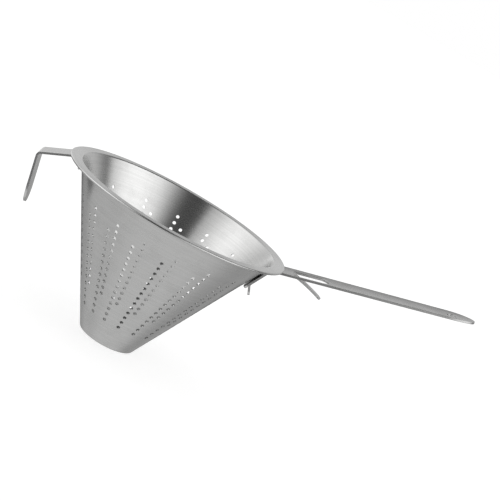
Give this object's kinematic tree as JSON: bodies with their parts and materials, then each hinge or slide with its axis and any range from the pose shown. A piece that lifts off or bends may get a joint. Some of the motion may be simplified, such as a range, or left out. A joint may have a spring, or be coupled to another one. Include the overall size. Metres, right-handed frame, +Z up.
{
  "type": "chinois strainer",
  "caption": "Perforated stainless steel conical strainer with a hemmed rim, a long strip handle with a pressed tongue and a strip hook for resting on a pot.",
  "frame": {"origin": "centre of the flat base, on the plane that the strainer stands on", "axes": "+Z up along the cone's axis, +X along the handle, -X towards the rest hook"},
  "size_m": [0.3829, 0.2, 0.1662],
  "materials": {
    "cone_steel": "satin, brushed round the cone",
    "strip_steel": "satin, brushed along the strip, blanked edges",
    "weld_steel": "dull, as welded"
  },
  "bodies": {
    "root": {"perforated_cone": "cone_steel", "handle": "strip_steel", "rest_hook": "strip_steel", "handle_welds": "weld_steel", "hook_welds": "weld_steel"}
  },
  "joints": []
}
